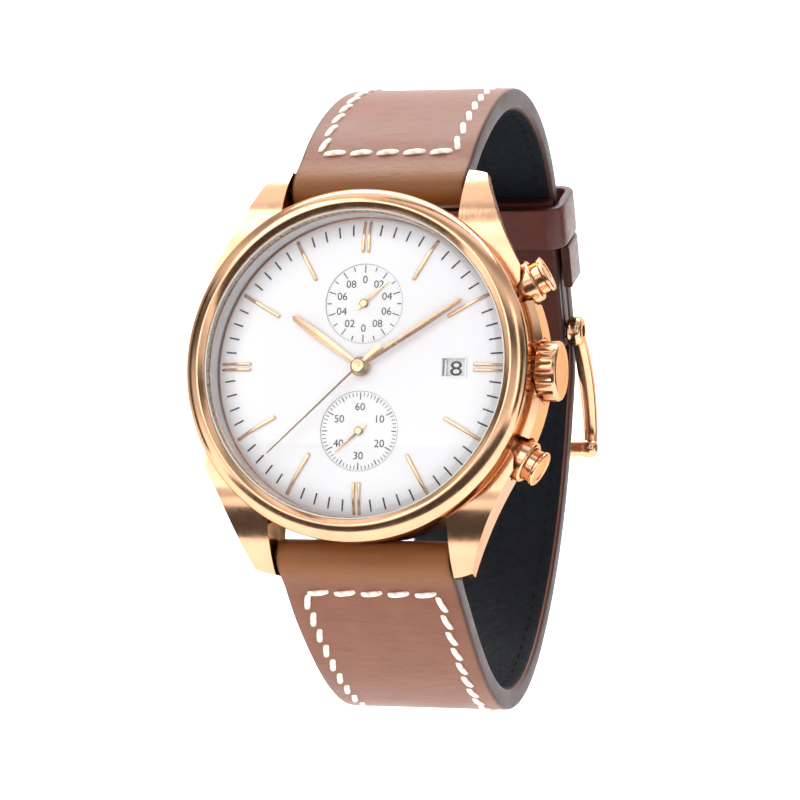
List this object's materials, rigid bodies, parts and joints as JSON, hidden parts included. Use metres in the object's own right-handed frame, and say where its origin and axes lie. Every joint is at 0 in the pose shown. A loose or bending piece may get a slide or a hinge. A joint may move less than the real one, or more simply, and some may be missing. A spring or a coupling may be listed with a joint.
{
  "type": "chronograph wristwatch",
  "caption": "Round rose gold chronograph wristwatch with two sub-dials, two pushers, a crown and a brown leather strap buckled into a loop.",
  "frame": {"origin": "centre of the case back's flat outer face", "axes": "+X points to the crown, +Z to 12 o'clock and +Y out of the case back, through the loop that the wrist fills; the dial faces -Y"},
  "size_m": [0.0452, 0.0781, 0.0796],
  "materials": {
    "rose_gold": "polished, with a rose gold plated layer",
    "steel": "brushed",
    "glass": "clear",
    "dial_white": "satin",
    "brass": "plain",
    "polymer_pale": "matt",
    "rubber_black": "matt",
    "board_green": "matt",
    "copper_wire": "enamelled wire",
    "leather_brown": "semi-matt, grained",
    "leather_navy": "matt",
    "dark_steel": "plain"
  },
  "bodies": {
    "case": {"case_middle": "rose_gold", "bezel": "rose_gold", "crystal": "glass", "crystal_gasket": "polymer_pale", "case_back": "steel", "case_back_gasket": "rubber_black", "dial": "dial_white", "applied_markers": "rose_gold", "movement_holder": "polymer_pale", "main_plate": "brass", "train_bridge": "steel", "bridge_screws": "steel", "battery": "steel", "circuit_board": "board_green", "quartz_can": "steel", "motor_coils": "copper_wire", "motor_stators": "dark_steel", "date_ring_guard": "steel", "crown_tube": "steel", "pusher_collars": "rose_gold", "pusher_gaskets": "rubber_black", "lug_spring_bars": "steel", "buckle_spring_bar": "steel", "strap_12_leather": "leather_brown", "strap_12_lining": "leather_navy", "strap_6_leather": "leather_brown", "strap_6_lining": "leather_navy", "fixed_keeper": "leather_brown", "start_spring": "steel", "reset_spring": "steel"},
    "minute_set": {"minute_hand": "rose_gold", "center_wheel": "brass"},
    "hour_set": {"hour_hand": "rose_gold", "hour_wheel": "brass"},
    "minute_wheel": {"minute_wheel": "brass"},
    "third_wheel": {"third_wheel": "brass"},
    "fourth_set": {"fourth_wheel": "brass", "small_seconds_hand": "rose_gold"},
    "fifth_wheel": {"fifth_wheel": "brass"},
    "drive_rotor": {"drive_rotor": "dark_steel"},
    "date_wheel": {"date_wheel": "brass"},
    "date_ring": {"date_ring": "dial_white"},
    "chrono_set": {"chrono_wheel": "brass", "chrono_hand": "rose_gold"},
    "chrono_relay": {"chrono_relay_wheel": "brass"},
    "chrono_rotor": {"chrono_rotor": "dark_steel"},
    "counter_set": {"counter_wheel": "brass", "counter_hand": "rose_gold"},
    "counter_rotor": {"counter_rotor": "dark_steel"},
    "setting_pinion": {"sliding_pinion": "steel"},
    "crown": {"crown": "rose_gold", "stem": "steel", "crown_gasket": "rubber_black"},
    "start_pusher": {"start_button": "rose_gold", "start_clip": "steel"},
    "reset_pusher": {"reset_button": "rose_gold", "reset_clip": "steel"},
    "free_keeper": {"free_keeper": "leather_brown"},
    "buckle_frame": {"buckle_frame": "rose_gold"},
    "buckle_tongue": {"buckle_tongue": "rose_gold"}
  },
  "joints": [
    {"name": "minute_turn", "type": "hinge", "parent": "case", "child": "minute_set", "pos_m": [0, -0.005, 0], "axis": [0, 1, 0], "continuous": true},
    {"name": "hour_turn", "type": "hinge", "parent": "case", "child": "hour_set", "pos_m": [0, -0.005, 0], "axis": [0, 1, 0], "continuous": true},
    {"name": "minute_wheel_turn", "type": "hinge", "parent": "case", "child": "minute_wheel", "pos_m": [-0.00361, -0.005, 0.00131], "axis": [0, 1, 0], "continuous": true},
    {"name": "third_wheel_turn", "type": "hinge", "parent": "case", "child": "third_wheel", "pos_m": [0.0024, -0.005, -0.00411], "axis": [0, 1, 0], "continuous": true},
    {"name": "small_seconds_turn", "type": "hinge", "parent": "case", "child": "fourth_set", "pos_m": [0, -0.005, -0.0077], "axis": [0, 1, 0], "continuous": true},
    {"name": "fifth_wheel_turn", "type": "hinge", "parent": "case", "child": "fifth_wheel", "pos_m": [-0.00271, -0.005, -0.00869], "axis": [0, 1, 0], "continuous": true},
    {"name": "drive_rotor_turn", "type": "hinge", "parent": "case", "child": "drive_rotor", "pos_m": [-0.00519, -0.005, -0.00825], "axis": [0, 1, 0], "continuous": true},
    {"name": "date_wheel_turn", "type": "hinge", "parent": "case", "child": "date_wheel", "pos_m": [0.00435, -0.005, 0.00203], "axis": [0, 1, 0], "continuous": true},
    {"name": "date_ring_turn", "type": "hinge", "parent": "case", "child": "date_ring", "pos_m": [0, -0.005, 0], "axis": [0, 1, 0], "continuous": true},
    {"name": "chrono_turn", "type": "hinge", "parent": "case", "child": "chrono_set", "pos_m": [0, -0.005, 0], "axis": [0, 1, 0], "continuous": true},
    {"name": "chrono_relay_turn", "type": "hinge", "parent": "case", "child": "chrono_relay", "pos_m": [0.00204, -0.005, 0.00204], "axis": [0, 1, 0], "continuous": true},
    {"name": "chrono_rotor_turn", "type": "hinge", "parent": "case", "child": "chrono_rotor", "pos_m": [0.00382, -0.005, 0.00382], "axis": [0, 1, 0], "continuous": true},
    {"name": "counter_turn", "type": "hinge", "parent": "case", "child": "counter_set", "pos_m": [0, -0.005, 0.0077], "axis": [0, 1, 0], "continuous": true},
    {"name": "counter_rotor_turn", "type": "hinge", "parent": "case", "child": "counter_rotor", "pos_m": [-0.00249, -0.005, 0.00914], "axis": [0, 1, 0], "continuous": true},
    {"name": "crown_turn", "type": "hinge", "parent": "case", "child": "setting_pinion", "pos_m": [0.01, -0.0048, 0], "axis": [1, 0, 0], "continuous": true},
    {"name": "crown_pull", "type": "slide", "parent": "setting_pinion", "child": "crown", "axis": [1, 0, 0], "range_m": [0, 0.0008]},
    {"name": "start_press", "type": "slide", "parent": "case", "child": "start_pusher", "axis": [-0.8788, 0, -0.4772], "range_m": [0, 0.0009], "stiffness_N_per_m": 800, "springref_m": -0.0005, "deforming": ["start_spring"]},
    {"name": "reset_press", "type": "slide", "parent": "case", "child": "reset_pusher", "axis": [-0.8788, 0, 0.4772], "range_m": [0, 0.0009], "stiffness_N_per_m": 800, "springref_m": -0.0005, "deforming": ["reset_spring"]},
    {"name": "keeper_slide", "type": "slide", "parent": "case", "child": "free_keeper", "axis": [0, -0.5, 0.866], "range_m": [-0.0002, 0.0014]},
    {"name": "buckle_swing", "type": "hinge", "parent": "case", "child": "buckle_frame", "pos_m": [0, 0.0531, 0.0133], "axis": [1, 0, 0], "range_deg": [0, 6]},
    {"name": "tongue_swing", "type": "hinge", "parent": "buckle_frame", "child": "buckle_tongue", "pos_m": [0, 0.0531, 0.0133], "axis": [1, 0, 0], "range_deg": [0, 5]}
  ],
  "couplings": [
    {"joint": "hour_turn", "follows": "minute_turn", "ratio": 0.083333},
    {"joint": "minute_wheel_turn", "follows": "minute_turn", "ratio": -0.33333},
    {"joint": "third_wheel_turn", "follows": "minute_turn", "ratio": -7.5},
    {"joint": "small_seconds_turn", "follows": "minute_turn", "ratio": 60},
    {"joint": "fifth_wheel_turn", "follows": "minute_turn", "ratio": -300},
    {"joint": "drive_rotor_turn", "follows": "minute_turn", "ratio": 1800},
    {"joint": "date_wheel_turn", "follows": "minute_turn", "ratio": -0.041667},
    {"joint": "chrono_relay_turn", "follows": "chrono_turn", "ratio": -5},
    {"joint": "chrono_rotor_turn", "follows": "chrono_turn", "ratio": 30},
    {"joint": "counter_rotor_turn", "follows": "counter_turn", "ratio": -5}
  ]
}
